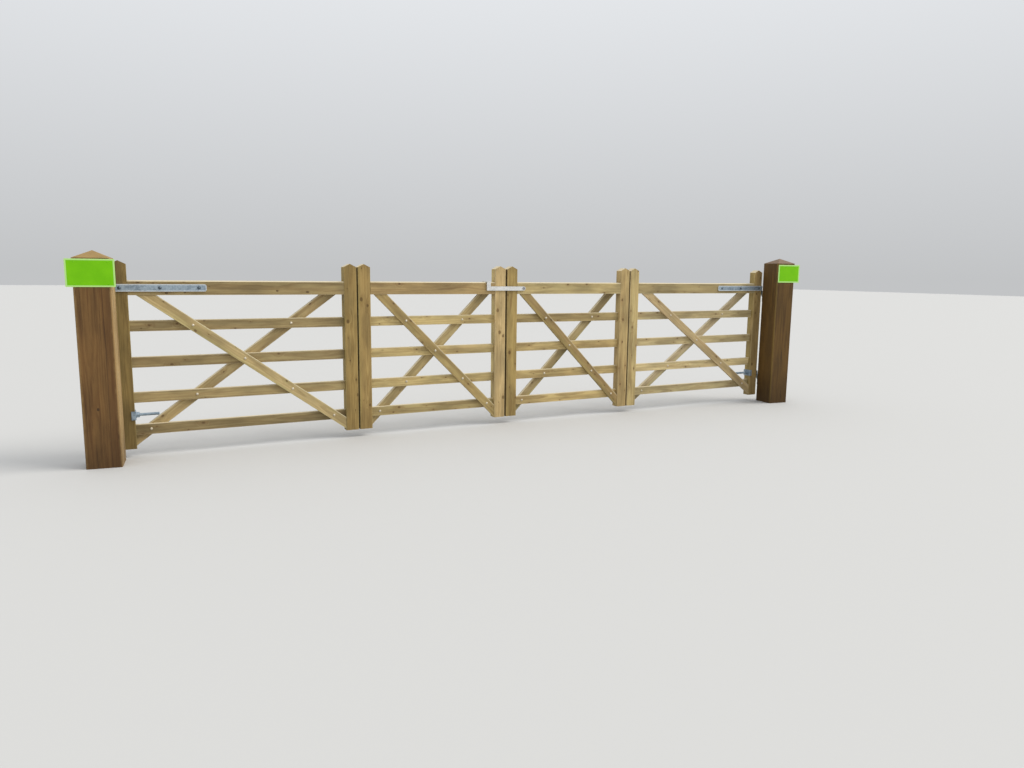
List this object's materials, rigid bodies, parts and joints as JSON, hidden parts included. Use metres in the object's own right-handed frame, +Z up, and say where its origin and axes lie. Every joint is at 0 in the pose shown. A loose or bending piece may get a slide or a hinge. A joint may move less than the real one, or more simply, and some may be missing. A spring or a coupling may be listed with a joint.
{
  "type": "bi-fold field gate",
  "caption": "Timber field gate of folding barred leaves with crossed braces, strap hinges, posts and a throw-over loop; the leaves swing inward and fold back on themselves.",
  "frame": {"origin": "centre of the left gatepost's foot, at ground level", "axes": "+X along the gateway to the right gatepost, +Y through the gateway away from the road, +Z up"},
  "size_m": [6.4036, 0.3643, 1.48],
  "materials": {
    "leaf_timber": "sawn and planed, treated",
    "post_timber": "sawn, weathered",
    "galvanised_steel": "galvanised",
    "bright_steel": "new galvanised"
  },
  "bodies": {
    "gateposts": {"left_gatepost": "post_timber", "right_gatepost": "post_timber", "left_top_hook": "galvanised_steel", "left_bottom_hook": "galvanised_steel", "right_top_hook": "galvanised_steel", "right_bottom_hook": "galvanised_steel"},
    "left_outer_leaf": {"left_outer_hanging_stile": "leaf_timber", "left_outer_fold_stile": "leaf_timber", "left_outer_top_rail": "leaf_timber", "left_outer_lower_rails": "leaf_timber", "left_outer_front_brace": "leaf_timber", "left_outer_back_brace": "leaf_timber", "left_strap_band": "galvanised_steel", "left_eye_bolt": "galvanised_steel", "left_fold_hinges_outer": "galvanised_steel", "left_fold_pins": "galvanised_steel"},
    "left_inner_leaf": {"left_inner_fold_stile": "leaf_timber", "left_inner_meeting_stile": "leaf_timber", "left_inner_top_rail": "leaf_timber", "left_inner_lower_rails": "leaf_timber", "left_inner_front_brace": "leaf_timber", "left_inner_back_brace": "leaf_timber", "left_fold_hinges_inner": "galvanised_steel"},
    "right_outer_leaf": {"right_outer_fold_stile": "leaf_timber", "right_outer_hanging_stile": "leaf_timber", "right_outer_top_rail": "leaf_timber", "right_outer_lower_rails": "leaf_timber", "right_outer_front_brace": "leaf_timber", "right_outer_back_brace": "leaf_timber", "right_strap_band": "galvanised_steel", "right_eye_bolt": "galvanised_steel", "right_fold_hinges_outer": "galvanised_steel", "right_fold_pins": "galvanised_steel"},
    "right_inner_leaf": {"right_inner_meeting_stile": "leaf_timber", "right_inner_fold_stile": "leaf_timber", "right_inner_top_rail": "leaf_timber", "right_inner_lower_rails": "leaf_timber", "right_inner_front_brace": "leaf_timber", "right_inner_back_brace": "leaf_timber", "right_fold_hinges_inner": "galvanised_steel", "latch_pivot": "bright_steel"},
    "latch": {"latch_loop": "bright_steel"}
  },
  "joints": [
    {"name": "left_outer_swing", "type": "hinge", "parent": "gateposts", "child": "left_outer_leaf", "pos_m": [0.0665, 0.17048, 0.3], "axis": [0, 0, 1], "range_deg": [0, 95]},
    {"name": "left_inner_fold", "type": "hinge", "parent": "left_outer_leaf", "child": "left_inner_leaf", "pos_m": [1.7815, 0.23498, 0.3], "axis": [0, 0, 1], "range_deg": [0, 175]},
    {"name": "right_outer_swing", "type": "hinge", "parent": "gateposts", "child": "right_outer_leaf", "pos_m": [6.1005, 0.17048, 0.3], "axis": [0, 0, -1], "range_deg": [0, 95]},
    {"name": "right_inner_fold", "type": "hinge", "parent": "right_outer_leaf", "child": "right_inner_leaf", "pos_m": [4.3855, 0.23498, 0.3], "axis": [0, 0, -1], "range_deg": [0, 175]},
    {"name": "latch_lift", "type": "hinge", "parent": "right_inner_leaf", "child": "latch", "pos_m": [3.2465, 0.17048, 1.173], "axis": [0, 1, 0], "range_deg": [0, 155]}
  ]
}
